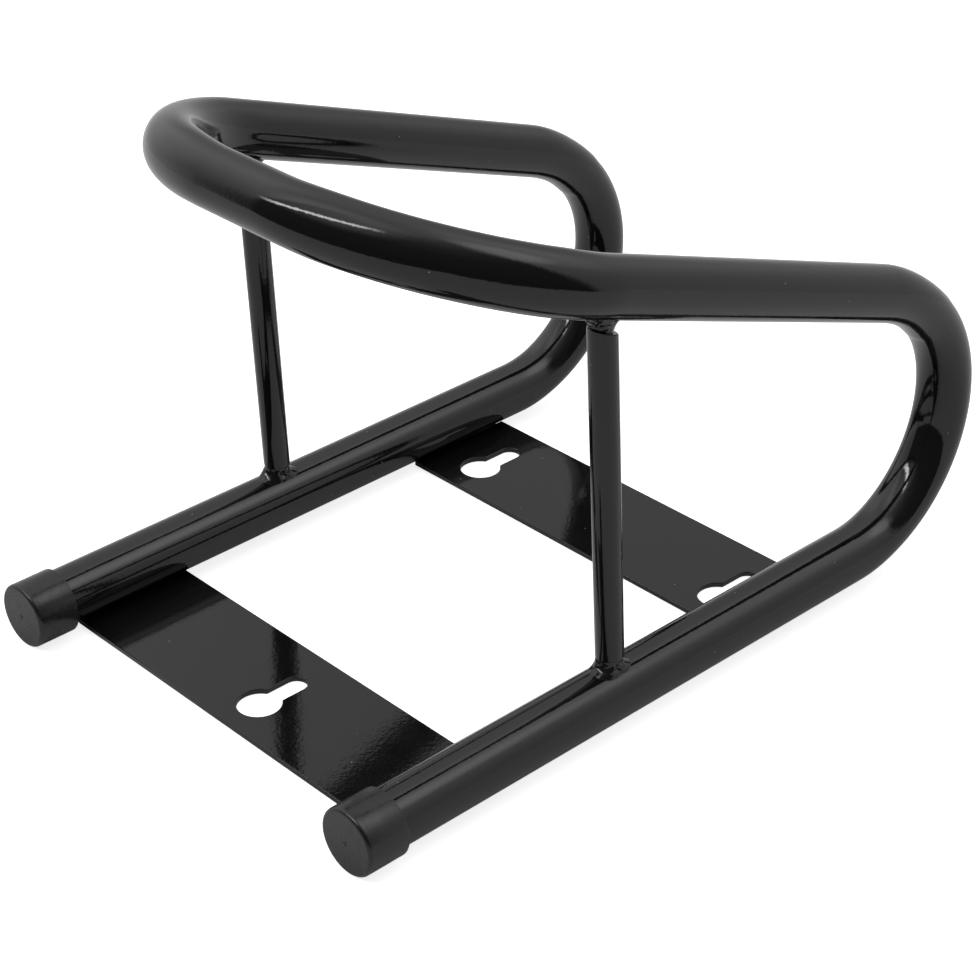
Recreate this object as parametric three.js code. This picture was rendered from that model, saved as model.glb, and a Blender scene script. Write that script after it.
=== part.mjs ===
// Steel wheel rack that screws down through keyholes. Millimetres, +Z up, capped tube ends at the -Y end.
//
// One bent tube makes two lower rails, a return bend at the rear of each, two upper rails that rise
// forwards, and a wide front loop. Two round struts hold the loop up, two flat cross plates tie the lower
// rails together, and push-on plastic caps close the tube. Weld beads join the steel pieces.

import * as THREE from 'three';

// ---- driving dimensions -------------------------------------------------------------------------------

const TUBE_RADIUS = 12.5;
const TUBE_WALL = 1.5;
const TUBE_SIDES = 24;
const BEND_STEP_DEG = 10;

const RAIL_HALF_SPACING = 105.8;   // mid-plane to the lower rail's axis, at the front end
const RAIL_SPLAY_DEG = 0.35;       // the lower rails open out slightly towards the rear
const LOWER_STRAIGHT = 288.8;
const RETURN_RADIUS = 61.1;        // tight part of the rear return bend
const RETURN_DEG = 133;
const EASE_RADIUS = 87.5;          // slacker end of the same bend, running into the upper rail
const EASE_DEG = 27.5;
const LOOP_LEAN_DEG = 0.65;        // the return bends lean inwards by this much
const UPPER_STRAIGHT = 175;
const CORNER_RADIUS = 88.3;

const STRUT_RADIUS = 6;
const STRUT_SIDES = 20;
const STRUT_FROM_END = 139.2;      // tube's front end to the strut's foot, along the lower rail
const STRUT_PAST_STRAIGHT = 3;     // end of the upper straight to the strut's head, along the corner

const PLATE_LENGTH = 207;
const PLATE_WIDTH = 58;
const PLATE_THICKNESS = 2.5;
const FRONT_PLATE_FROM_END = 22.5; // tube's front end to the plate's front edge
const REAR_PLATE_FROM_END = 220.1;

const KEYHOLE_HEAD_RADIUS = 9.6;
const KEYHOLE_SLOT_HALF_WIDTH = 5;
const KEYHOLE_REACH = 24.6;        // head's centre to the slot's far end, towards the rear
const KEYHOLE_ARC_STEPS = 9;
const FRONT_KEYHOLE_INSET = 18.1;  // plate's front edge to the head's centre
const REAR_KEYHOLE_INSET = 18.8;
const REAR_KEYHOLE_HALF_SPACING = 77.2;

const CAP_RADIUS = 14.5;
const CAP_LENGTH = 19.4;
const CAP_END_WALL = 2.3;
const CAP_RIM_RADIUS = 1.5;
const CAP_RIM_STEPS = 4;
const CAP_GATE_RADIUS = 1.2;       // moulding mark in the middle of the end face
const CAP_GATE_DEPTH = 0.4;
const CAP_SIDES = 32;

const STRUT_BEAD_LEG = 3.4;        // along the rail, away from the strut
const STRUT_BEAD_HEIGHT = 5;       // along the strut, away from the rail
const STRUT_BEAD_SIDES = 28;
const PLATE_BEAD_LENGTH = 50;
const PLATE_BEAD_LEG = 3.2;        // under the tube, away from the plate's end
const PLATE_BEAD_CLEARANCE = 0.35; // the bead's lowest edge above the plate's underside
const BEAD_BULGE = 0.35;           // how far a bead's rounded face stands out in the middle
const BEAD_FACE_STEPS = 4;

const CONTACT_GAP = 0.1;           // tube lying on a plate
const FIT_GAP = 0.3;               // cap round tube, strut end on tube
const BEAD_GAP = 0.45;             // weld bead to the steel it bridges

// ---- derived values -----------------------------------------------------------------------------------

const RAIL_HEIGHT = PLATE_THICKNESS + CONTACT_GAP + TUBE_RADIUS;
const CAP_FRONT = -(FIT_GAP + CAP_END_WALL);
const REAR_EXTENT = LOWER_STRAIGHT + RETURN_RADIUS + TUBE_RADIUS;
const MID_LENGTH = (CAP_FRONT + REAR_EXTENT) / 2;
const X_AXIS = new THREE.Vector3(1, 0, 0);
const Y_AXIS = new THREE.Vector3(0, 1, 0);
const SIDES = { right: 1, left: -1 };
const radians = THREE.MathUtils.degToRad;

// ---- materials ----------------------------------------------------------------------------------------

const BLACK_COAT = new THREE.MeshStandardMaterial({ color: 0x121213, roughness: 0.2, metalness: 0.1 });
const BLACK_PLASTIC = new THREE.MeshStandardMaterial({ color: 0x232324, roughness: 0.55, metalness: 0 });

function namedMesh(name, geometry, material) {
  const mesh = new THREE.Mesh(geometry, material);
  mesh.name = name;
  return mesh;
}

// ---- tube centreline ----------------------------------------------------------------------------------

// Walks the right-hand half of the centreline, from the lower rail's front end to the end of the front
// corner. Each station is a point on the line and the line's direction there.
function walkHalfTube() {
  const splay = radians(RAIL_SPLAY_DEG);
  const lean = radians(LOOP_LEAN_DEG);
  const point = new THREE.Vector3(RAIL_HALF_SPACING, 0, 0);
  const heading = new THREE.Vector3(Math.sin(splay), Math.cos(splay), 0);
  const stations = [{ point: point.clone(), heading: heading.clone() }];

  function straight(length) {
    point.addScaledVector(heading, length);
    stations.push({ point: point.clone(), heading: heading.clone() });
  }

  function bend(radius, degrees, axis) {
    const centre = new THREE.Vector3().crossVectors(axis, heading).multiplyScalar(radius).add(point);
    const steps = Math.ceil(degrees / BEND_STEP_DEG);
    const turn = radians(degrees / steps);
    for (let i = 0; i < steps; i += 1) {
      point.sub(centre).applyAxisAngle(axis, turn).add(centre);
      heading.applyAxisAngle(axis, turn);
      stations.push({ point: point.clone(), heading: heading.clone() });
    }
  }

  straight(LOWER_STRAIGHT);
  const returnAxis = new THREE.Vector3(Math.cos(lean), 0, Math.sin(lean));
  returnAxis.addScaledVector(heading, -returnAxis.dot(heading)).normalize();
  bend(RETURN_RADIUS, RETURN_DEG, returnAxis);
  bend(EASE_RADIUS, EASE_DEG, returnAxis);
  straight(UPPER_STRAIGHT);
  const cornerStart = stations[stations.length - 1];
  const inwards = X_AXIS.clone().negate();
  const cornerAxis = new THREE.Vector3().crossVectors(heading, inwards).normalize();
  bend(CORNER_RADIUS, THREE.MathUtils.radToDeg(heading.angleTo(inwards)), cornerAxis);
  return { stations, cornerStart, cornerAxis };
}

// The left-hand half is the mirror image, walked the other way.
function mirrorStations(stations) {
  const mirrored = stations.map(({ point, heading }) => ({
    point: new THREE.Vector3(-point.x, point.y, point.z),
    heading: new THREE.Vector3(heading.x, -heading.y, -heading.z),
  }));
  return mirrored.reverse();
}

// A curve that steps from station to station, so straights stay single spans and bends are finely cut.
class StationCurve extends THREE.Curve {
  constructor(stations) {
    super();
    this.stations = stations;
  }

  stationAt(u) {
    return this.stations[Math.round(u * (this.stations.length - 1))];
  }

  getPointAt(u, target = new THREE.Vector3()) {
    return target.copy(this.stationAt(u).point);
  }

  getTangentAt(u, target = new THREE.Vector3()) {
    return target.copy(this.stationAt(u).heading);
  }
}

function circlePoints(radius, sides) {
  const points = [];
  for (let i = 0; i < sides; i += 1) {
    const angle = (2 * Math.PI * i) / sides;
    points.push(new THREE.Vector2(radius * Math.cos(angle), radius * Math.sin(angle)));
  }
  return points;
}

function makeBentTube(half) {
  const stations = [...half.stations, ...mirrorStations(half.stations)];
  const section = new THREE.Shape(circlePoints(TUBE_RADIUS, TUBE_SIDES));
  section.holes.push(new THREE.Path(circlePoints(TUBE_RADIUS - TUBE_WALL, TUBE_SIDES)));
  const geometry = new THREE.ExtrudeGeometry(section, {
    steps: stations.length - 1,
    extrudePath: new StationCurve(stations),
  });
  return namedMesh('bent_tube', geometry, BLACK_COAT);
}

// ---- cross plates -------------------------------------------------------------------------------------

// A round head towards the front and a narrow slot running rearwards from it, centred on the head.
function keyholePath(x, y) {
  const join = Math.acos(KEYHOLE_SLOT_HALF_WIDTH / KEYHOLE_HEAD_RADIUS);
  const slotCentre = y + KEYHOLE_REACH - KEYHOLE_SLOT_HALF_WIDTH;
  const path = new THREE.Path();
  path.absarc(x, y, KEYHOLE_HEAD_RADIUS, Math.PI - join, 2 * Math.PI + join, false);
  path.absarc(x, slotCentre, KEYHOLE_SLOT_HALF_WIDTH, 0, Math.PI, false);
  path.closePath();
  return path;
}

function makePlate(name, fromEnd, keyholes) {
  const outline = new THREE.Shape([
    new THREE.Vector2(-PLATE_LENGTH / 2, 0),
    new THREE.Vector2(PLATE_LENGTH / 2, 0),
    new THREE.Vector2(PLATE_LENGTH / 2, PLATE_WIDTH),
    new THREE.Vector2(-PLATE_LENGTH / 2, PLATE_WIDTH),
  ]);
  for (const [x, y] of keyholes) {
    outline.holes.push(keyholePath(x, y));
  }
  const geometry = new THREE.ExtrudeGeometry(outline, {
    depth: PLATE_THICKNESS,
    bevelEnabled: false,
    curveSegments: KEYHOLE_ARC_STEPS,
  });
  const plate = namedMesh(name, geometry, BLACK_COAT);
  plate.position.set(0, fromEnd, -RAIL_HEIGHT);
  return plate;
}

// ---- end caps -----------------------------------------------------------------------------------------

// A cup turned about the rail's axis: end face with its moulding mark, rounded rim, wall and bore.
function makeCap(sideName) {
  const mouth = CAP_FRONT + CAP_LENGTH;
  const bore = TUBE_RADIUS + FIT_GAP;
  const profile = [
    new THREE.Vector2(0, CAP_FRONT + CAP_GATE_DEPTH),
    new THREE.Vector2(CAP_GATE_RADIUS, CAP_FRONT + CAP_GATE_DEPTH),
    new THREE.Vector2(CAP_GATE_RADIUS, CAP_FRONT),
  ];
  for (let i = 0; i <= CAP_RIM_STEPS; i += 1) {
    const angle = (i / CAP_RIM_STEPS) * (Math.PI / 2);
    const inset = CAP_RIM_RADIUS * (1 - Math.sin(angle));
    const rise = CAP_RIM_RADIUS * (1 - Math.cos(angle));
    profile.push(new THREE.Vector2(CAP_RADIUS - inset, CAP_FRONT + rise));
  }
  profile.push(new THREE.Vector2(CAP_RADIUS, mouth));
  profile.push(new THREE.Vector2(bore, mouth));
  profile.push(new THREE.Vector2(bore, CAP_FRONT + CAP_END_WALL));
  profile.push(new THREE.Vector2(0, CAP_FRONT + CAP_END_WALL));
  const cap = namedMesh(`end_cap_${sideName}`, new THREE.LatheGeometry(profile, CAP_SIDES), BLACK_PLASTIC);
  cap.position.x = SIDES[sideName] * RAIL_HALF_SPACING;
  cap.rotation.z = -SIDES[sideName] * radians(RAIL_SPLAY_DEG);
  return cap;
}

// ---- weld faces ---------------------------------------------------------------------------------------

// The rounded face of a weld bead in section, from one edge to the other. It bulges to the right of the
// way from start to end.
function beadFace(start, end) {
  const across = end.clone().sub(start);
  const outward = new THREE.Vector2(across.y, -across.x).normalize();
  const points = [];
  for (let i = 0; i <= BEAD_FACE_STEPS; i += 1) {
    const share = i / BEAD_FACE_STEPS;
    const bulge = BEAD_BULGE * Math.sin(Math.PI * share);
    points.push(start.clone().addScaledVector(across, share).addScaledVector(outward, bulge));
  }
  return points;
}

// ---- struts and their welds ---------------------------------------------------------------------------

// Height of a rail's surface over its axis, at (x, z) in a frame whose +Y is the strut and whose origin is
// on the rail's axis. The rail runs along the given direction and may lean in that frame.
function railSurface(x, z, rail, radius) {
  const along = x * rail.x + z * rail.z;
  const a = 1 - rail.y * rail.y;
  const b = -2 * rail.y * along;
  const c = x * x + z * z - along * along - radius * radius;
  return (-b + Math.sqrt(b * b - 4 * a * c)) / (2 * a);
}

function reshapeHeights(geometry, heightAt) {
  const position = geometry.getAttribute('position');
  for (let i = 0; i < position.count; i += 1) {
    position.setY(i, heightAt(position.getX(i), position.getY(i), position.getZ(i)));
  }
  geometry.computeVertexNormals();
  return geometry;
}

// A ring of weld round the strut: turned as a fillet, then draped over the rail's surface.
function makeStrutBead(name, rail) {
  const inner = STRUT_RADIUS + BEAD_GAP;
  const outer = inner + STRUT_BEAD_LEG;
  const toe = new THREE.Vector2(outer, 0);
  const crest = new THREE.Vector2(inner, STRUT_BEAD_HEIGHT);
  const profile = [
    new THREE.Vector2(inner, 0),
    new THREE.Vector2((inner + outer) / 2, 0),
    ...beadFace(toe, crest),
    new THREE.Vector2(inner, 0),
  ];
  const ring = new THREE.LatheGeometry(profile, STRUT_BEAD_SIDES);
  const surface = TUBE_RADIUS + BEAD_GAP;
  return namedMesh(name, reshapeHeights(ring, (x, y, z) => y + railSurface(x, z, rail, surface)), BLACK_COAT);
}

// A round bar from the lower rail to the front corner, its ends cut parallel to the rails they meet.
function makeStrut(name, length, footRail, headRail) {
  const bar = new THREE.CylinderGeometry(STRUT_RADIUS, STRUT_RADIUS, length, STRUT_SIDES);
  bar.translate(0, length / 2, 0);
  const surface = TUBE_RADIUS + FIT_GAP;
  const cutEnds = (x, y, z) => {
    const foot = railSurface(0, z, footRail, surface);
    const head = length - railSurface(0, -z, headRail, surface);
    return y < length / 2 ? foot : head;
  };
  return namedMesh(name, reshapeHeights(bar, cutEnds), BLACK_COAT);
}

// The strut's foot on the lower rail, and its head just past the end of the upper straight.
function strutEnds(half, side) {
  const start = half.stations[0];
  const foot = start.point.clone().addScaledVector(start.heading, STRUT_FROM_END);
  const footHeading = start.heading.clone();
  const head = half.cornerStart.point.clone().addScaledVector(half.cornerStart.heading, STRUT_PAST_STRAIGHT);
  const headHeading = half.cornerStart.heading.clone();
  headHeading.applyAxisAngle(half.cornerAxis, STRUT_PAST_STRAIGHT / CORNER_RADIUS);
  for (const vector of [foot, footHeading, head, headHeading]) {
    vector.x *= side;
  }
  return { foot, footHeading, head, headHeading };
}

function makeStrutAssembly(half, sideName) {
  const { foot, footHeading, head, headHeading } = strutEnds(half, SIDES[sideName]);
  const axis = head.clone().sub(foot);
  const length = axis.length();
  axis.normalize();

  const footFrame = new THREE.Group();
  footFrame.position.copy(foot);
  footFrame.quaternion.setFromUnitVectors(Y_AXIS, axis);
  const headFrame = new THREE.Group();
  headFrame.position.set(0, length, 0);
  headFrame.quaternion.setFromAxisAngle(X_AXIS, Math.PI);
  footFrame.add(headFrame);

  const toFootFrame = footFrame.quaternion.clone().invert();
  const toHeadFrame = headFrame.quaternion.clone().invert().multiply(toFootFrame);
  const footRail = footHeading.applyQuaternion(toFootFrame);
  const headRail = headHeading.applyQuaternion(toHeadFrame);

  footFrame.add(makeStrut(`strut_${sideName}`, length, footRail, headRail));
  footFrame.add(makeStrutBead(`weld_strut_foot_${sideName}`, footRail));
  headFrame.add(makeStrutBead(`weld_strut_head_${sideName}`, headRail));
  return footFrame;
}

// ---- plate welds --------------------------------------------------------------------------------------

// Height of a lower rail's underside over the plates' underside, at a distance from the rail's mid-plane.
function railUnderside(x) {
  const circle = TUBE_RADIUS + BEAD_GAP;
  return RAIL_HEIGHT - Math.sqrt(circle * circle - x * x);
}

// A fillet under a rail, in the corner between the tube and the end of a plate.
function makePlateBead(name, side, plateFromEnd) {
  const middle = plateFromEnd + PLATE_WIDTH / 2;
  const railX = RAIL_HALF_SPACING + middle * Math.tan(radians(RAIL_SPLAY_DEG));
  const root = PLATE_LENGTH / 2 + BEAD_GAP;
  const toe = root + PLATE_BEAD_LEG;
  const crest = new THREE.Vector2(toe, railUnderside(toe - railX));
  const outline = [
    new THREE.Vector2(root, railUnderside(root - railX)),
    ...beadFace(new THREE.Vector2(root, PLATE_BEAD_CLEARANCE), crest),
  ];
  for (const point of outline) {
    point.x *= side;
  }
  const geometry = new THREE.ExtrudeGeometry(new THREE.Shape(outline), {
    depth: PLATE_BEAD_LENGTH,
    bevelEnabled: false,
  });
  geometry.rotateX(Math.PI / 2);
  const bead = namedMesh(name, geometry, BLACK_COAT);
  bead.position.set(0, middle + PLATE_BEAD_LENGTH / 2, -RAIL_HEIGHT);
  return bead;
}

// ---- assembly -----------------------------------------------------------------------------------------

// Everything above is placed from the rails' front end and axis height. The rack's origin is the middle
// of its footprint, at floor level.
function makeRack() {
  const half = walkHalfTube();
  const rack = new THREE.Group();
  rack.position.set(0, -MID_LENGTH, RAIL_HEIGHT);
  rack.add(makeBentTube(half));
  rack.add(makePlate('front_plate', FRONT_PLATE_FROM_END, [[0, FRONT_KEYHOLE_INSET]]));
  rack.add(makePlate('rear_plate', REAR_PLATE_FROM_END, [
    [-REAR_KEYHOLE_HALF_SPACING, REAR_KEYHOLE_INSET],
    [REAR_KEYHOLE_HALF_SPACING, REAR_KEYHOLE_INSET],
  ]));
  for (const [sideName, side] of Object.entries(SIDES)) {
    rack.add(makeCap(sideName));
    rack.add(makeStrutAssembly(half, sideName));
    rack.add(makePlateBead(`weld_front_plate_${sideName}`, side, FRONT_PLATE_FROM_END));
    rack.add(makePlateBead(`weld_rear_plate_${sideName}`, side, REAR_PLATE_FROM_END));
  }
  return rack;
}

export default makeRack();
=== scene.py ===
import math

import bmesh
import bpy
from mathutils import Matrix, Quaternion, Vector, noise


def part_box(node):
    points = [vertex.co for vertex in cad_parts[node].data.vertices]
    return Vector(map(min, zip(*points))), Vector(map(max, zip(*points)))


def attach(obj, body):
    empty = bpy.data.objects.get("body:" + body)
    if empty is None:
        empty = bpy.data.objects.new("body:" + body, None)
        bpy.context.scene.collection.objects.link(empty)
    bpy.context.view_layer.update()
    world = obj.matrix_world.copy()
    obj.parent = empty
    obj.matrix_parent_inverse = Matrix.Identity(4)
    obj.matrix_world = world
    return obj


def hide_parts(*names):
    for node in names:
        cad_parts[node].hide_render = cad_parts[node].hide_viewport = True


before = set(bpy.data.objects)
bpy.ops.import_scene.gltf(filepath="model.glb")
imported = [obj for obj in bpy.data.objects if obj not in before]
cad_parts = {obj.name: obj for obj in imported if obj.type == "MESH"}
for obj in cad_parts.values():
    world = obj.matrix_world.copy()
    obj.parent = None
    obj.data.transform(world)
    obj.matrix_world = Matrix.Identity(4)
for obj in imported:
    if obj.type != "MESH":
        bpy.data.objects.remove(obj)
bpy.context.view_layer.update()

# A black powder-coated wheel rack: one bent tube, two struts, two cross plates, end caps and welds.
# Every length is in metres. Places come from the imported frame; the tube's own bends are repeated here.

MM = 0.001
SIDES = {"right": 1, "left": -1}
BODY = "root"

# ---- driving dimensions ------------------------------------------------------------------------------

TUBE_RADIUS = 12.5 * MM
TUBE_WALL = 1.5 * MM
# From a capped end: lower rail, return bend, a wider bend that eases into the upper rail, upper rail,
# front corner. The other half mirrors it.
RAIL_SPLAY = math.radians(0.35)
LOWER_STRAIGHT = 288.8 * MM
RETURN_RADIUS = 61.1 * MM
RETURN_TURN = math.radians(133)
EASE_RADIUS = 87.5 * MM
EASE_TURN = math.radians(27.5)
LOOP_LEAN = math.radians(0.65)
UPPER_STRAIGHT = 175 * MM
CORNER_RADIUS = 88.3 * MM

STRUT_RADIUS = 6 * MM
STRUT_FROM_END = 139.2 * MM
STRUT_PAST_STRAIGHT = 3 * MM
STRUT_EDGE_RADIUS = 0.4 * MM
FOOT_GAP = 5.6 * MM
HEAD_GAP = 5.6 * MM

# Each weld of a strut: its waist, how much fuller it is on the side it was laid from, the direction of
# that side, and how far it runs out along the rail and round it.
FOOT_BEAD = {
    "gap": FOOT_GAP,
    "waist": 5.1 * MM,
    "lean": 0.6 * MM,
    "full_angle": math.radians(-43),
    "leg_along": 5.4 * MM,
    "leg_across": 1.5 * MM,
}
HEAD_BEAD = {
    "gap": HEAD_GAP,
    "waist": 4.9 * MM,
    "lean": 0.8 * MM,
    "full_angle": math.radians(-137),
    "leg_along": 3.6 * MM,
    "leg_across": 1.8 * MM,
}
# Craters in the foot welds: angle, height over the rail, radius, depth.
FOOT_PITS = [(math.radians(85), 3.2 * MM, 1.3 * MM, 1.4 * MM)]
# How steeply the weld flares, the radius of its hollow middle, and how far it sinks into the steel.
BEAD_FLARE = 2.4
BEAD_CORE = 1.5 * MM
BEAD_SUNK = 0.35 * MM
# The weld's edge on the rail wanders: size of a wave, and share of the leg.
BEAD_EDGE_SIZE = 4 * MM
BEAD_EDGE_WANDER = 0.3
# Lumps of the weld metal: size, depth.
BEAD_LUMPS = [(2.4 * MM, 0.55 * MM), (1.2 * MM, 0.15 * MM)]
# One seed for each kind of weld, so that no two kinds look alike.
FOOT_SEED = 3.1
HEAD_SEED = 7.7
FRONT_PLATE_SEED = 11.3
REAR_PLATE_SEED = 17.9

KEYHOLE_HEAD_RADIUS = 9.6 * MM
KEYHOLE_SLOT_HALF_WIDTH = 5 * MM
KEYHOLE_REACH = 24.6 * MM
FRONT_KEYHOLE_INSET = 18.1 * MM
REAR_KEYHOLE_INSET = 18.8 * MM
REAR_KEYHOLE_HALF_SPACING = 77.2 * MM
KEYHOLE_FILLET = 1.1 * MM
PLATE_EDGE_RADIUS = 0.45 * MM
PLATE_BEAD_LEG = 3.4 * MM
PLATE_BEAD_CLEARANCE = 0.3 * MM
PLATE_BEAD_WANDER_SIZE = 9 * MM
PLATE_BEAD_WANDER = 0.18
PLATE_BEAD_RIPPLE = 2.1 * MM
PLATE_BEAD_BULGE = 0.3 * MM
PLATE_BEAD_INTO_PLATE = 0.2 * MM
PLATE_BEAD_INTO_RAIL = 0.3 * MM

CAP_RIM_RADIUS = 1.6 * MM
CAP_MOUTH_RADIUS = 0.5 * MM
CAP_GATE_RADIUS = 1.1 * MM
CAP_BORE_GAP = 0.05 * MM
CAP_GATE_DEPTH = 0.25 * MM
CAP_GATE_NUB = 0.05 * MM
CAP_FACE_STEP = 0.3 * MM
CAP_FLOOR = -0.1 * MM
# The push-on caps sit loosely and unequally: rearward distance and droop of each.
CAP_SEAT = {"right": 0.7 * MM, "left": -1.1 * MM}
CAP_DROOP = {"right": 0.35 * MM, "left": 0.65 * MM}
TUBE_INSIDE_CAP = 1.3 * MM

# How the tube's section changes in its bends: thinner in the bend's plane, wider across it.
RETURN_THIN = 0.075
RETURN_WIDE = 0.012
CORNER_THIN = 0.06
CORNER_WIDE = 0.048
# Length at each end of a bend over which that change builds up.
BEND_RAMP = 2.2 * TUBE_RADIUS

# ---- mesh resolution ---------------------------------------------------------------------------------

TUBE_SIDES = 72
STRAIGHT_STEP = 8 * MM
BEND_STEP = 2.5 * MM
STRUT_SIDES = 64
STRUT_EDGE_STEPS = 5
KEYHOLE_HEAD_STEPS = 48
KEYHOLE_SLOT_STEPS = 24
KEYHOLE_FILLET_STEPS = 8
PLATE_EDGE_STEPS = 3
CAP_SIDES = 96
CAP_RIM_STEPS = 8
CAP_MOUTH_STEPS = 4
BEAD_TURNS = 144
BEAD_ROWS = 28
PLATE_BEAD_STEPS = 90
PLATE_BEAD_ROWS = 9
# Vertices nearer than this to each other are one, and a radius under ON_AXIS is none.
SAME_PLACE = 0.01 * MM
ON_AXIS = 1e-9

# ---- looks -------------------------------------------------------------------------------------------

COAT_COLOUR = (0.0056, 0.0056, 0.0058, 1)
COAT_IOR = 1.5
COAT_ROUGHNESS = (0.045, 0.085)
COAT_GLOSS_PATCH = 9 * MM
PEEL_SIZE = 1.6 * MM
PEEL_DEPTH = 0.022 * MM
COAT_GRAIN_SIZE = 0.45 * MM
COAT_GRAIN_DEPTH = 0.006 * MM
DUST_COLOUR = (0.30, 0.30, 0.29, 1)
DUST_SPACING = 10 * MM
DUST_SIZE = 0.3 * MM
DUST_CORE = 0.7

PLASTIC_SHADE = (0.007, 0.011)
PLASTIC_SHADE_PATCH = 2.5 * MM
PLASTIC_IOR = 1.5
PLASTIC_ROUGHNESS = (0.2, 0.32)
PLASTIC_GLOSS_PATCH = 3 * MM
PLASTIC_GRAIN_SIZE = 0.5 * MM
PLASTIC_GRAIN_DEPTH = 0.016 * MM
PLASTIC_WAVE_SIZE = 4 * MM
PLASTIC_WAVE_DEPTH = 0.05 * MM

# ---- camera, light and floor -------------------------------------------------------------------------
# A white tent round the rack, open towards the camera's side, with lamps and a strip behind its cloth.
# Directions are azimuth and elevation in degrees: azimuth 0 is -Y and 90 is +X.

CAMERA_AZIMUTH = 46.79
CAMERA_ELEVATION = 30.89
CAMERA_ROLL = math.radians(-0.29)
CAMERA_DISTANCE = 1.016
CAMERA_LENS_MM = 87.74
CAMERA_TARGET = Vector((0.0133, -0.0210, 0.0630))
CAMERA_SENSOR_MM = 36
CAMERA_NEAR = 0.01
CAMERA_FAR = 50

OPENING_AZIMUTH = 33
OPENING_HALF_WIDTH = 76
OPENING_EDGE = 10

# Brightness by height: (sine of the elevation, brightness)
TENT_BRIGHTNESS = [(0.0, 0.60), (0.26, 0.62), (0.5, 0.80), (0.7, 1.0), (1.0, 1.0)]
OPENING_BRIGHTNESS = [(0.0, 0.06), (0.6, 0.09), (0.82, 0.2), (0.93, 0.42), (1.0, 1.0)]

# Round glows, and one shaded fold: azimuth, elevation, radius of the middle, outer radius, brightness
GLOWS = [
    (-22, 60, 4, 34, 0.7),
    (132, 58, 4, 20, 0.95),
    (160, 52, 0, 30, 0.4),
    (-92, 28, 0, 34, 0.2),
    (-138, 28, 0, 34, -0.25),
]

# A strip light behind the cloth, along part of a circle on the sky.
STRIP_POLE = (-98.3, 63.5)
STRIP_CIRCLE = 45.2
STRIP_HALF_WIDTH = 1.5
STRIP_EDGE = 2.2
STRIP_MIDDLE = (-22, 48)
STRIP_REACH = (10, 31)
STRIP_BRIGHTNESS = 11.0

# The floor is white to the camera, and in reflections it is a middle grey.
FLOOR_GREY = 0.7
FLOOR_GLOW = 0.8
FLOOR_HALF_SIZE = 1.1
FLOOR_LEVEL = -0.15 * MM
BACKDROP_BRIGHTNESS = 1.05
BACKDROP_COLOUR = (1.0, 1.0, 1.02, 1)

# ---- places from the frame ---------------------------------------------------------------------------

tube_low, tube_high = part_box("bent_tube")
cap_low, cap_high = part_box("end_cap_right")
RAIL_FRONT = Vector(((cap_low.x + cap_high.x) / 2, tube_low.y, (cap_low.z + cap_high.z) / 2))
CAP_RADIUS = (cap_high.z - cap_low.z) / 2
CAP_FRONT = cap_low.y - RAIL_FRONT.y
CAP_MOUTH = cap_high.y - RAIL_FRONT.y


# ---- small helpers -----------------------------------------------------------------------------------

def mesh_piece(name, vertices, faces, material):
    """A smooth-shaded mesh object that rides on the rack."""
    mesh = bpy.data.meshes.new(name)
    mesh.from_pydata([tuple(v) for v in vertices], [], faces)
    mesh.materials.append(material)
    for polygon in mesh.polygons:
        polygon.use_smooth = True
    mesh.update()
    piece = bpy.data.objects.new(name, mesh)
    bpy.context.scene.collection.objects.link(piece)
    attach(piece, BODY)
    return piece


def smooth_step(t):
    """0 up to t = 0 and 1 from t = 1, with a smooth rise between."""
    t = min(1.0, max(0.0, t))
    return t * t * (3 - 2 * t)


def strip_faces(first, second, count):
    """Quads that join two rings of vertices."""
    return [
        (first + i, first + (i + 1) % count, second + (i + 1) % count, second + i)
        for i in range(count)
    ]


def make_material(name):
    material = bpy.data.materials.new(name)
    material.use_nodes = True
    return material, material.node_tree, material.node_tree.nodes["Principled BSDF"]


# ---- materials ---------------------------------------------------------------------------------------

def add_node(tree, kind, inputs=None, **settings):
    """A node with some of its inputs set. An input given as a socket is linked."""
    made = tree.nodes.new(kind)
    for name, value in settings.items():
        setattr(made, name, value)
    for name, value in (inputs or {}).items():
        if isinstance(value, bpy.types.NodeSocket):
            tree.links.new(value, made.inputs[name])
        else:
            made.inputs[name].default_value = value
    return made


def math_node(tree, operation, first, second):
    return add_node(tree, "ShaderNodeMath", {0: first, 1: second}, operation=operation).outputs[0]


def noise_height(tree, place, size, detail=1.0):
    """Noise whose lumps are about size across."""
    made = add_node(tree, "ShaderNodeTexNoise", {"Vector": place, "Scale": 1 / size, "Detail": detail})
    return made.outputs["Fac"]


def bump(tree, height, depth, below=None):
    inputs = {"Height": height, "Distance": depth, "Strength": 1.0}
    if below:
        inputs["Normal"] = below
    return add_node(tree, "ShaderNodeBump", inputs).outputs["Normal"]


def remap(tree, value, low, high, to_low, to_high):
    made = add_node(tree, "ShaderNodeMapRange", {
        "Value": value, "From Min": low, "From Max": high, "To Min": to_low, "To Max": to_high,
    })
    return made.outputs["Result"]


def dust(tree, place, spacing, size):
    """1 on scattered specks of the given size, 0 elsewhere."""
    cells = add_node(tree, "ShaderNodeTexVoronoi", {"Vector": place, "Scale": 1 / spacing})
    return remap(tree, cells.outputs["Distance"], DUST_CORE * size / spacing, size / spacing, 1, 0)


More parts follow.
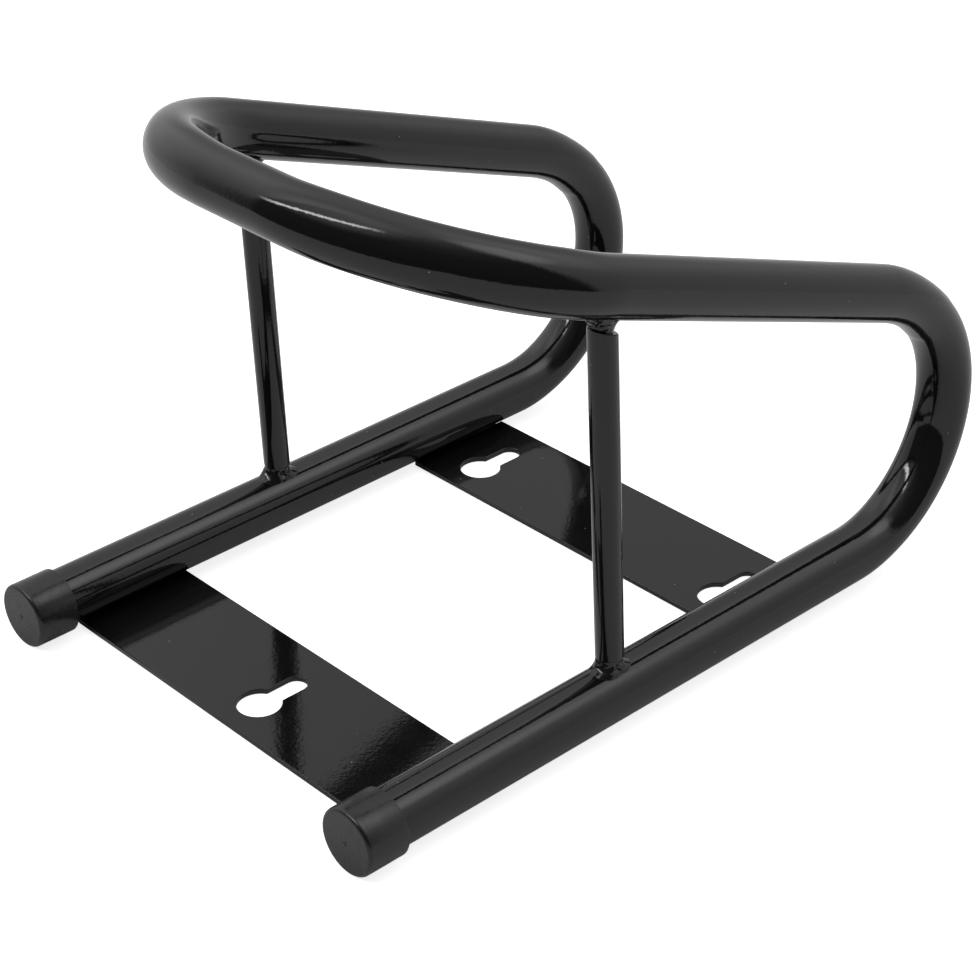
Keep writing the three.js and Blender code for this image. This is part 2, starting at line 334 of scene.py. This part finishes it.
def black_coat():
    """Glossy powder coat: orange peel, a finer grain over it, uneven gloss and a few specks of dust."""
    material, tree, shader = make_material("black_coat")
    place = add_node(tree, "ShaderNodeTexCoord").outputs["Object"]
    specks = dust(tree, place, DUST_SPACING, DUST_SIZE)
    colour = add_node(tree, "ShaderNodeMix", {"Factor": specks}, data_type="RGBA")
    colour.inputs["A"].default_value = COAT_COLOUR
    colour.inputs["B"].default_value = DUST_COLOUR
    tree.links.new(colour.outputs["Result"], shader.inputs["Base Color"])
    shader.inputs["IOR"].default_value = COAT_IOR
    gloss = remap(tree, noise_height(tree, place, COAT_GLOSS_PATCH, 3), 0.3, 0.7, *COAT_ROUGHNESS)
    tree.links.new(gloss, shader.inputs["Roughness"])
    peel = bump(tree, noise_height(tree, place, PEEL_SIZE), PEEL_DEPTH)
    grain = bump(tree, noise_height(tree, place, COAT_GRAIN_SIZE), COAT_GRAIN_DEPTH, peel)
    tree.links.new(grain, shader.inputs["Normal"])
    return material


def cap_plastic():
    """Satin moulded plastic with a fine spark-eroded grain and faint scuffs."""
    material, tree, shader = make_material("cap_plastic")
    place = add_node(tree, "ShaderNodeTexCoord").outputs["Object"]
    shade = remap(tree, noise_height(tree, place, PLASTIC_SHADE_PATCH, 4), 0.35, 0.65, *PLASTIC_SHADE)
    tree.links.new(shade, shader.inputs["Base Color"])
    shader.inputs["IOR"].default_value = PLASTIC_IOR
    satin = remap(tree, noise_height(tree, place, PLASTIC_GLOSS_PATCH, 4), 0.3, 0.7, *PLASTIC_ROUGHNESS)
    tree.links.new(satin, shader.inputs["Roughness"])
    grain = bump(tree, noise_height(tree, place, PLASTIC_GRAIN_SIZE, 3), PLASTIC_GRAIN_DEPTH)
    waves = bump(tree, noise_height(tree, place, PLASTIC_WAVE_SIZE), PLASTIC_WAVE_DEPTH, grain)
    tree.links.new(waves, shader.inputs["Normal"])
    return material


COAT = black_coat()
PLASTIC = cap_plastic()


# ---- the bent tube -----------------------------------------------------------------------------------

def station(point, heading, normal=None, thin=0.0, wide=0.0):
    """A place on the centreline. normal points to the bend's centre; thin and wide shape the section."""
    return {
        "point": point.copy(),
        "heading": heading.copy(),
        "normal": normal.copy() if normal else None,
        "thin": thin,
        "wide": wide,
    }


def walk_half_tube():
    """Stations along the right-hand half of the centreline, and where its front corner starts."""
    point = RAIL_FRONT.copy()
    heading = Vector((math.sin(RAIL_SPLAY), math.cos(RAIL_SPLAY), 0))
    stations = [station(point + heading * TUBE_INSIDE_CAP, heading)]

    def straight(length):
        steps = math.ceil(length / STRAIGHT_STEP)
        start = point.copy()
        for i in range(1, steps + 1):
            point.xyz = start + heading * (length * i / steps)
            stations.append(station(point, heading))

    def bend(legs, axis, thin, wide):
        """legs is a list of (radius, turn). The section changes over a ramp at each end."""
        total = sum(radius * turn for radius, turn in legs)
        ramp = min(total / 3, BEND_RAMP)
        gone = 0.0
        for radius, turn in legs:
            centre = point + axis.cross(heading) * radius
            arm, first = point - centre, heading.copy()
            steps = math.ceil(radius * turn / BEND_STEP)
            slack = legs[0][0] / radius
            for i in range(1, steps + 1):
                spin = Quaternion(axis, turn * i / steps)
                point.xyz = centre + spin @ arm
                heading.xyz = spin @ first
                gone += radius * turn / steps
                share = smooth_step(gone / ramp) * smooth_step((total - gone) / ramp) * slack
                inward = (centre - point).normalized()
                stations.append(station(point, heading, inward, thin * share, wide * share))

    straight(LOWER_STRAIGHT)
    axis = Vector((math.cos(LOOP_LEAN), 0, math.sin(LOOP_LEAN)))
    axis = (axis - heading * axis.dot(heading)).normalized()
    bend([(RETURN_RADIUS, RETURN_TURN), (EASE_RADIUS, EASE_TURN)], axis, RETURN_THIN, RETURN_WIDE)
    straight(UPPER_STRAIGHT)
    corner_start = stations[-1]
    inwards = Vector((-1, 0, 0))
    corner_axis = heading.cross(inwards).normalized()
    bend([(CORNER_RADIUS, heading.angle(inwards))], corner_axis, CORNER_THIN, CORNER_WIDE)
    crossbar = stations[-1]["point"].x
    stations.append(station(stations[-1]["point"] - Vector((crossbar, 0, 0)), inwards))
    return stations, corner_start, corner_axis


def mirror_station(here):
    """The same place on the other half, walked the other way."""
    flip = Vector((-1, 1, 1))
    return {
        "point": here["point"] * flip,
        "heading": -(here["heading"] * flip),
        "normal": here["normal"] * flip if here["normal"] else None,
        "thin": here["thin"],
        "wide": here["wide"],
    }


def section_ring(here, side, radius):
    """One ring of the tube's wall. side is the frame's own sideways direction at this station."""
    up = here["heading"].cross(side)
    ring = []
    for i in range(TUBE_SIDES):
        angle = 2 * math.pi * i / TUBE_SIDES
        arm = (side * math.cos(angle) + up * math.sin(angle)) * radius
        if here["normal"]:
            inward = arm.dot(here["normal"])
            arm -= here["normal"] * (inward * here["thin"])
            across = here["heading"].cross(here["normal"])
            arm += across * (arm.dot(across) * here["wide"])
        ring.append(here["point"] + arm)
    return ring


def make_bent_tube(half):
    """The whole tube, outside and bore, closed at both ends by a ring as thick as its wall."""
    whole = half + [mirror_station(here) for here in reversed(half[:-1])]
    side = Vector((1, 0, 0))
    outer, inner = [], []
    for here in whole:
        side = (side - here["heading"] * side.dot(here["heading"])).normalized()
        outer.append(section_ring(here, side, TUBE_RADIUS))
        inner.append(section_ring(here, side, TUBE_RADIUS - TUBE_WALL))
    rings = outer + inner[::-1]
    vertices = [v for ring in rings for v in ring]
    faces = []
    for k in range(len(rings)):
        following = (k + 1) % len(rings)
        faces += strip_faces(k * TUBE_SIDES, following * TUBE_SIDES, TUBE_SIDES)
    piece = mesh_piece("tube", vertices, faces, COAT)
    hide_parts("bent_tube")
    return piece


# ---- cross plates ------------------------------------------------------------------------------------

def circle_points(centre, radius, start, end, steps):
    """Points on an arc, angles in radians."""
    points = []
    for i in range(steps + 1):
        angle = start + (end - start) * i / steps
        points.append((centre[0] + radius * math.cos(angle), centre[1] + radius * math.sin(angle)))
    return points


def keyhole_points(x, y):
    """A round head towards the front and a narrow slot to the rear, their corners rounded by the coat."""
    aside = KEYHOLE_SLOT_HALF_WIDTH + KEYHOLE_FILLET
    ahead = math.sqrt((KEYHOLE_HEAD_RADIUS + KEYHOLE_FILLET) ** 2 - aside ** 2)
    turn = math.atan2(ahead, aside)
    slot_y = y + KEYHOLE_REACH - KEYHOLE_SLOT_HALF_WIDTH
    points = circle_points((x, y), KEYHOLE_HEAD_RADIUS, math.pi - turn, 2 * math.pi + turn,
                           KEYHOLE_HEAD_STEPS)
    points += circle_points((x + aside, y + ahead), KEYHOLE_FILLET, math.pi + turn, math.pi,
                            KEYHOLE_FILLET_STEPS)[1:]
    points += circle_points((x, slot_y), KEYHOLE_SLOT_HALF_WIDTH, 0, math.pi, KEYHOLE_SLOT_STEPS)
    points += circle_points((x - aside, y + ahead), KEYHOLE_FILLET, 0, -turn,
                            KEYHOLE_FILLET_STEPS)[:-1]
    return points


def make_plate(node, keyholes):
    """A flat bar with softened edges. keyholes lists (x, distance from the front edge)."""
    low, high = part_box(node)
    outline = [(low.x, low.y), (high.x, low.y), (high.x, high.y), (low.x, high.y)]
    loops = [outline] + [keyhole_points(x, low.y + inset) for x, inset in keyholes]
    curve = bpy.data.curves.new(node + "_outline", "CURVE")
    curve.dimensions = "2D"
    curve.fill_mode = "BOTH"
    curve.extrude = (high.z - low.z) / 2 - PLATE_EDGE_RADIUS
    curve.bevel_depth = PLATE_EDGE_RADIUS
    curve.bevel_resolution = PLATE_EDGE_STEPS
    curve.offset = -PLATE_EDGE_RADIUS
    for loop in loops:
        spline = curve.splines.new("POLY")
        spline.points.add(len(loop) - 1)
        spline.use_cyclic_u = True
        for target, (x, y) in zip(spline.points, loop):
            target.co = (x, y, 0, 1)
    drawn = bpy.data.objects.new(node + "_outline", curve)
    bpy.context.scene.collection.objects.link(drawn)
    bpy.context.view_layer.update()
    graph = bpy.context.evaluated_depsgraph_get()
    mesh = bpy.data.meshes.new_from_object(drawn.evaluated_get(graph))
    bpy.data.objects.remove(drawn)
    mesh.transform(Matrix.Translation((0, 0, (low.z + high.z) / 2)))
    work = bmesh.new()
    work.from_mesh(mesh)
    bmesh.ops.remove_doubles(work, verts=work.verts, dist=SAME_PLACE)
    bmesh.ops.recalc_face_normals(work, faces=work.faces)
    work.to_mesh(mesh)
    work.free()
    mesh.materials.clear()
    mesh.materials.append(COAT)
    for polygon in mesh.polygons:
        polygon.use_smooth = True
    piece = bpy.data.objects.new(node.replace("_", "-"), mesh)
    bpy.context.scene.collection.objects.link(piece)
    weighted = piece.modifiers.new("flat faces", "WEIGHTED_NORMAL")
    weighted.keep_sharp = True
    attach(piece, BODY)
    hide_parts(node)
    return piece


# ---- end caps ----------------------------------------------------------------------------------------

def revolve(profile, sides, place):
    """Turns (radius, height) points about the local Y axis. Points on the axis become one vertex."""
    vertices, rings = [], []
    for radius, height in profile:
        if radius < ON_AXIS:
            rings.append([len(vertices)] * sides)
            vertices.append(place @ Vector((0, height, 0)))
            continue
        rings.append([len(vertices) + i for i in range(sides)])
        for i in range(sides):
            angle = 2 * math.pi * i / sides
            vertices.append(place @ Vector((radius * math.sin(angle), height, radius * math.cos(angle))))
    faces = []
    for first, second in zip(rings, rings[1:]):
        for i in range(sides):
            j = (i + 1) % sides
            corners = [first[i], first[j], second[j], second[i]]
            face = [c for k, c in enumerate(corners) if c not in corners[:k]]
            if len(face) > 2:
                faces.append(face)
    return vertices, faces


def make_cap(side_name):
    """A cup with a rounded rim, a small moulding gate in its face and a bore for the tube."""
    side = SIDES[side_name]
    bore = TUBE_RADIUS + CAP_BORE_GAP
    rim = (CAP_RADIUS - CAP_RIM_RADIUS, CAP_FRONT + CAP_RIM_RADIUS)
    mouth = (CAP_RADIUS - CAP_MOUTH_RADIUS, CAP_MOUTH - CAP_MOUTH_RADIUS)
    profile = [
        (0, CAP_FRONT - CAP_GATE_NUB),
        (0.35 * CAP_GATE_RADIUS, CAP_FRONT - 0.4 * CAP_GATE_NUB),
        (0.6 * CAP_GATE_RADIUS, CAP_FRONT + CAP_GATE_DEPTH),
        (0.85 * CAP_GATE_RADIUS, CAP_FRONT + CAP_GATE_DEPTH),
        (CAP_GATE_RADIUS, CAP_FRONT),
        (CAP_GATE_RADIUS + CAP_FACE_STEP, CAP_FRONT),
        (rim[0] - CAP_FACE_STEP, CAP_FRONT),
    ]
    profile += circle_points(rim, CAP_RIM_RADIUS, -math.pi / 2, 0, CAP_RIM_STEPS)
    profile += circle_points(mouth, CAP_MOUTH_RADIUS, 0, math.pi / 2, CAP_MOUTH_STEPS)
    profile += [(bore, CAP_MOUTH), (bore, CAP_FLOOR), (0, CAP_FLOOR)]
    start = RAIL_FRONT * Vector((side, 1, 1)) + Vector((0, CAP_SEAT[side_name], -CAP_DROOP[side_name]))
    place = Matrix.Translation(start) @ Matrix.Rotation(-side * RAIL_SPLAY, 4, "Z")
    vertices, faces = revolve(profile, CAP_SIDES, place)
    piece = mesh_piece("cap_" + side_name, vertices, faces, PLASTIC)
    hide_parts("end_cap_" + side_name)
    return piece


# ---- struts and their welds --------------------------------------------------------------------------

def rail_surface(x, z, rail, radius):
    """Height of a rail's surface over its axis, in a frame whose +Y is the strut."""
    along = x * rail.x + z * rail.z
    a = 1 - rail.y * rail.y
    b = -2 * rail.y * along
    c = x * x + z * z - along * along - radius * radius
    return (-b + math.sqrt(max(0, b * b - 4 * a * c))) / (2 * a)


def strut_frames(corner_start, corner_axis, side):
    """A frame at the strut's foot and one at its head, each with the rail's direction in it. +Y runs
    along the strut, away from the rail."""
    flip = Vector((side, 1, 1))
    foot_heading = Vector((math.sin(RAIL_SPLAY), math.cos(RAIL_SPLAY), 0))
    foot = (RAIL_FRONT + foot_heading * STRUT_FROM_END) * flip
    head = (corner_start["point"] + corner_start["heading"] * STRUT_PAST_STRAIGHT) * flip
    turned = Quaternion(corner_axis, STRUT_PAST_STRAIGHT / CORNER_RADIUS) @ corner_start["heading"]
    frames = []
    for start, end, heading in ((foot, head, foot_heading * flip), (head, foot, turned * flip)):
        turn = Vector((0, 1, 0)).rotation_difference((end - start).normalized())
        place = Matrix.Translation(start) @ turn.to_matrix().to_4x4()
        frames.append((place, turn.inverted() @ heading))
    return frames


def cut_height(z, rail, gap):
    """Height over the rail's axis at which a strut is cut off, parallel to the rail."""
    return TUBE_RADIUS + gap + z * rail.y / rail.z


def make_strut(side_name, frames):
    """Round bar that stops short of the rails, with softened ends. The welds bridge the gaps."""
    (place, foot_rail), (head_place, head_rail) = frames
    to_foot = place.inverted() @ head_place
    to_head = to_foot.inverted()
    edge = circle_points((STRUT_RADIUS - STRUT_EDGE_RADIUS, STRUT_EDGE_RADIUS), STRUT_EDGE_RADIUS,
                         -math.pi / 2, 0, STRUT_EDGE_STEPS)
    vertices = []

    def add_ring(radius, from_foot=None, from_head=None):
        for i in range(STRUT_SIDES):
            angle = 2 * math.pi * i / STRUT_SIDES
            x, z = radius * math.sin(angle), radius * math.cos(angle)
            if from_head is None:
                height = cut_height(z, foot_rail, FOOT_GAP) + from_foot
                vertices.append(place @ Vector((x, height, z)))
            else:
                across = to_head @ Vector((x, 0, z))
                height = cut_height(across.z, head_rail, HEAD_GAP) + from_head
                vertices.append(head_place @ Vector((across.x, height, across.z)))

    for radius, height in edge:
        add_ring(radius, from_foot=height)
    for radius, height in reversed(edge):
        add_ring(radius, from_head=height)
    rings = 2 * len(edge)
    faces = []
    for k in range(rings - 1):
        faces += strip_faces(k * STRUT_SIDES, (k + 1) * STRUT_SIDES, STRUT_SIDES)
    faces.append(list(range(STRUT_SIDES))[::-1])
    faces.append([(rings - 1) * STRUT_SIDES + i for i in range(STRUT_SIDES)])
    piece = mesh_piece("strut-" + side_name, vertices, faces, COAT)
    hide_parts("strut_" + side_name)
    return piece


class BeadShape:
    """How one weld between a strut and a rail is shaped. Angles run from the bead's own +Z to +X."""

    def __init__(self, sizes, seed, pits=()):
        self.gap = sizes["gap"]
        self.waist = sizes["waist"]
        self.lean = sizes["lean"]
        self.full_angle = sizes["full_angle"]
        self.leg_along = sizes["leg_along"]
        self.leg_across = sizes["leg_across"]
        self.offset = Vector((seed, 2.7 * seed, 0))
        self.pits = pits

    def neck(self, angle):
        """Radius of the waist, fuller on the side that the weld was laid from."""
        return self.waist + self.lean * math.cos(angle - self.full_angle)

    def lump(self, around, height, size):
        """Noise between -1 and 1 on the weld's surface."""
        return noise.noise(around * (4 * MM / size) + Vector((0, height / size, 0)) + self.offset)

    def swell(self, around, height):
        return sum(depth * self.lump(around, height, size) for size, depth in BEAD_LUMPS)

    def reach(self, around, rail):
        """How far the weld runs out onto the rail in one direction."""
        along = around.dot(rail) ** 2
        leg = self.leg_across + (self.leg_along - self.leg_across) * along
        return leg * (1 + BEAD_EDGE_WANDER * self.lump(around, 0, BEAD_EDGE_SIZE))

    def pit(self, angle, height):
        depth = 0.0
        for pit_angle, pit_height, pit_size, pit_depth in self.pits:
            turn = math.remainder(angle - pit_angle, 2 * math.pi) * self.waist
            depth += pit_depth * math.exp(-(turn ** 2 + (height - pit_height) ** 2) / pit_size ** 2)
        return depth


def lump_share(t):
    """How much of the lumps shows at a share t of the weld's height: none at the strut's end."""
    return math.sqrt(max(0.0, math.sin(math.pi * min(1.0, 1.15 * t + 0.02))))


def make_strut_bead(node, place, rail, shape):
    """Weld metal that necks in under the strut's end and flares out onto the rail."""
    vertices = []
    for i in range(BEAD_TURNS):
        angle = 2 * math.pi * i / BEAD_TURNS
        around = Vector((math.sin(angle), 0, math.cos(angle)))
        reach = shape.reach(around, rail)
        for j in range(BEAD_ROWS):
            t = j / (BEAD_ROWS - 1)
            radius = shape.neck(angle) + reach * (1 - t) ** BEAD_FLARE
            x, z = around.x * radius, around.z * radius
            floor = rail_surface(x, z, rail, TUBE_RADIUS) - BEAD_SUNK
            top = cut_height(z, rail, shape.gap) + BEAD_SUNK
            height = floor + (top - floor) * t
            radius += lump_share(t) * shape.swell(around, height) - shape.pit(angle, height - floor)
            vertices.append(place @ Vector((around.x * radius, height, around.z * radius)))
        for inner_height in (height, TUBE_RADIUS - BEAD_CORE):
            vertices.append(place @ Vector((around.x * BEAD_CORE, inner_height, around.z * BEAD_CORE)))
    row = BEAD_ROWS + 2
    faces = []
    for i in range(BEAD_TURNS):
        here, there = i * row, ((i + 1) % BEAD_TURNS) * row
        for j in range(row):
            k = (j + 1) % row
            faces.append((here + j, there + j, there + k, here + k))
    piece = mesh_piece(node.replace("weld_", "bead_"), vertices, faces, COAT)
    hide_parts(node)
    return piece


# ---- plate welds -------------------------------------------------------------------------------------

def make_plate_bead(node, side, seed):
    """A rippled fillet under a rail, in the corner between the tube and the end of a plate."""
    low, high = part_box(node)
    plate_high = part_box("front_plate")[1]
    root = plate_high.x
    steps, rows = PLATE_BEAD_STEPS, PLATE_BEAD_ROWS
    section = rows + 2
    vertices = []
    for k in range(steps + 1):
        y = low.y + (high.y - low.y) * k / steps
        rail_x = RAIL_FRONT.x + (y - RAIL_FRONT.y) * math.tan(RAIL_SPLAY)
        ends = min(1.0, 5 * min(k, steps - k) / steps + 0.25) ** 0.5
        wander = noise.noise(Vector((y / PLATE_BEAD_WANDER_SIZE, seed, 0)))
        ripple = abs(math.sin(math.pi * y / PLATE_BEAD_RIPPLE + 2 * wander))
        leg = PLATE_BEAD_LEG * ends * (1 + PLATE_BEAD_WANDER * wander)
        crest_z = RAIL_FRONT.z - math.sqrt(TUBE_RADIUS ** 2 - (root + leg - rail_x) ** 2)
        foot_z = PLATE_BEAD_CLEARANCE + (1 - ends) * (plate_high.z - 2 * PLATE_BEAD_CLEARANCE)
        for j in range(rows):
            t = j / (rows - 1)
            bulge = PLATE_BEAD_BULGE * math.sin(math.pi * t) * (0.4 + 0.6 * ripple) * ends
            x, z = root + leg * t + bulge, foot_z + (crest_z - foot_z) * t - bulge
            vertices.append(Vector((side * x, y, z)))
        top_z = crest_z + PLATE_BEAD_INTO_RAIL
        vertices.append(Vector((side * (root + leg), y, top_z)))
        vertices.append(Vector((side * (root - PLATE_BEAD_INTO_PLATE), y, top_z)))
    faces = []
    for k in range(steps):
        for j in range(section):
            m = (j + 1) % section
            quad = (k * section + j, (k + 1) * section + j, (k + 1) * section + m, k * section + m)
            faces.append(quad if side > 0 else quad[::-1])
    first = tuple(range(section))
    last = tuple(steps * section + j for j in range(section))
    faces.append(first if side > 0 else first[::-1])
    faces.append(last[::-1] if side > 0 else last)
    piece = mesh_piece(node.replace("weld_", "bead_"), vertices, faces, COAT)
    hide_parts(node)
    return piece


# ---- the studio --------------------------------------------------------------------------------------

def direction(azimuth, elevation):
    """A unit vector from angles in degrees."""
    azimuth, elevation = math.radians(azimuth), math.radians(elevation)
    return Vector((
        math.sin(azimuth) * math.cos(elevation),
        -math.cos(azimuth) * math.cos(elevation),
        math.sin(elevation),
    ))


def make_camera():
    data = bpy.data.cameras.new("camera")
    data.sensor_width = CAMERA_SENSOR_MM
    data.lens = CAMERA_LENS_MM
    data.clip_start = CAMERA_NEAR
    data.clip_end = CAMERA_FAR
    camera = bpy.data.objects.new("camera", data)
    bpy.context.scene.collection.objects.link(camera)
    back = direction(CAMERA_AZIMUTH, CAMERA_ELEVATION)
    camera.location = CAMERA_TARGET + back * CAMERA_DISTANCE
    camera.rotation_mode = "QUATERNION"
    camera.rotation_quaternion = (-back).to_track_quat("-Z", "Y") @ Quaternion((0, 0, 1), CAMERA_ROLL)
    bpy.context.scene.camera = camera


def make_floor():
    """A plain pale floor. Its extra glow is only for camera rays, which see it white."""
    material, tree, shader = make_material("floor")
    shader.inputs["Base Color"].default_value = (FLOOR_GREY, FLOOR_GREY, FLOOR_GREY, 1)
    shader.inputs["Roughness"].default_value = 1.0
    shader.inputs["Specular IOR Level"].default_value = 0.0
    shader.inputs["Emission Color"].default_value = (1, 1, 1, 1)
    seen = add_node(tree, "ShaderNodeLightPath").outputs["Is Camera Ray"]
    tree.links.new(remap(tree, seen, 0, 1, 0, FLOOR_GLOW), shader.inputs["Emission Strength"])
    size, level = FLOOR_HALF_SIZE, FLOOR_LEVEL
    mesh = bpy.data.meshes.new("floor")
    corners = [(-size, -size, level), (size, -size, level), (size, size, level), (-size, size, level)]
    mesh.from_pydata(corners, [], [(0, 1, 2, 3)])
    mesh.materials.append(material)
    floor = bpy.data.objects.new("floor", mesh)
    bpy.context.scene.collection.objects.link(floor)


def brightness_ramp(tree, height, stops):
    """Brightness against height. A colour ramp holds no more than 1, so it is scaled up after."""
    top = max(value for _, value in stops)
    ramp = add_node(tree, "ShaderNodeValToRGB", {"Fac": height})
    elements = ramp.color_ramp.elements
    while len(elements) < len(stops):
        elements.new(0.5)
    for element, (position, value) in zip(elements, stops):
        element.position = position
        element.color = (value / top, value / top, value / top, 1)
    return math_node(tree, "MULTIPLY", ramp.outputs["Color"], top)


def facing(tree, towards, direction_socket, full, none):
    """1 within full degrees of a direction, falling to 0 at none degrees."""
    dot = add_node(tree, "ShaderNodeVectorMath", {0: direction_socket, 1: towards}, operation="DOT_PRODUCT")
    made = add_node(tree, "ShaderNodeMapRange", {
        "Value": dot.outputs["Value"],
        "From Min": math.cos(math.radians(none)),
        "From Max": math.cos(math.radians(full)),
    }, interpolation_type="SMOOTHSTEP")
    return made.outputs["Result"]


def make_world():
    """Light of the tent, its opening, the glows and the strip. Camera rays see a white backdrop."""
    world = bpy.data.worlds.new("studio")
    bpy.context.scene.world = world
    world.use_nodes = True
    tree = world.node_tree
    look = add_node(tree, "ShaderNodeTexCoord").outputs["Generated"]
    height = add_node(tree, "ShaderNodeSeparateXYZ", {0: look}).outputs["Z"]
    level = add_node(tree, "ShaderNodeVectorMath", {0: look, 1: (1, 1, 0)}, operation="MULTIPLY")
    level = add_node(tree, "ShaderNodeVectorMath", {0: level.outputs[0]}, operation="NORMALIZE").outputs[0]
    opening = facing(tree, direction(OPENING_AZIMUTH, 0), level,
                     OPENING_HALF_WIDTH, OPENING_HALF_WIDTH + OPENING_EDGE)
    light = add_node(tree, "ShaderNodeMix", {
        0: opening,
        2: brightness_ramp(tree, height, TENT_BRIGHTNESS),
        3: brightness_ramp(tree, height, OPENING_BRIGHTNESS),
    }).outputs[0]
    for azimuth, elevation, middle, spread, strength in GLOWS:
        glow = facing(tree, direction(azimuth, elevation), look, middle, spread)
        light = math_node(tree, "ADD", light, math_node(tree, "MULTIPLY", glow, strength))
    inner, outer = STRIP_CIRCLE - STRIP_HALF_WIDTH, STRIP_CIRCLE + STRIP_HALF_WIDTH
    pole = direction(*STRIP_POLE)
    band = math_node(tree, "SUBTRACT",
                     facing(tree, pole, look, outer, outer + STRIP_EDGE),
                     facing(tree, pole, look, inner - STRIP_EDGE, inner))
    strip = math_node(tree, "MULTIPLY", band, facing(tree, direction(*STRIP_MIDDLE), look, *STRIP_REACH))
    light = math_node(tree, "ADD", light, math_node(tree, "MULTIPLY", strip, STRIP_BRIGHTNESS))
    seen = add_node(tree, "ShaderNodeLightPath").outputs["Is Camera Ray"]
    light = add_node(tree, "ShaderNodeMix", {0: seen, 2: light, 3: BACKDROP_BRIGHTNESS}).outputs[0]
    background = tree.nodes["Background"]
    background.inputs["Color"].default_value = BACKDROP_COLOUR
    tree.links.new(light, background.inputs["Strength"])


# ---- everything --------------------------------------------------------------------------------------

half_tube, corner_start, corner_axis = walk_half_tube()
make_bent_tube(half_tube)
make_plate("front_plate", [(0, FRONT_KEYHOLE_INSET)])
make_plate("rear_plate", [
    (-REAR_KEYHOLE_HALF_SPACING, REAR_KEYHOLE_INSET),
    (REAR_KEYHOLE_HALF_SPACING, REAR_KEYHOLE_INSET),
])
for number, (side_name, side) in enumerate(SIDES.items()):
    make_cap(side_name)
    foot, head = strut_frames(corner_start, corner_axis, side)
    make_strut(side_name, (foot, head))
    foot_shape = BeadShape(FOOT_BEAD, FOOT_SEED + number, FOOT_PITS)
    head_shape = BeadShape(HEAD_BEAD, HEAD_SEED + number)
    make_strut_bead("weld_strut_foot_" + side_name, *foot, foot_shape)
    make_strut_bead("weld_strut_head_" + side_name, *head, head_shape)
    make_plate_bead("weld_front_plate_" + side_name, side, FRONT_PLATE_SEED + number)
    make_plate_bead("weld_rear_plate_" + side_name, side, REAR_PLATE_SEED + number)

make_floor()
make_camera()
make_world()
bpy.context.scene.view_settings.view_transform = "Standard"
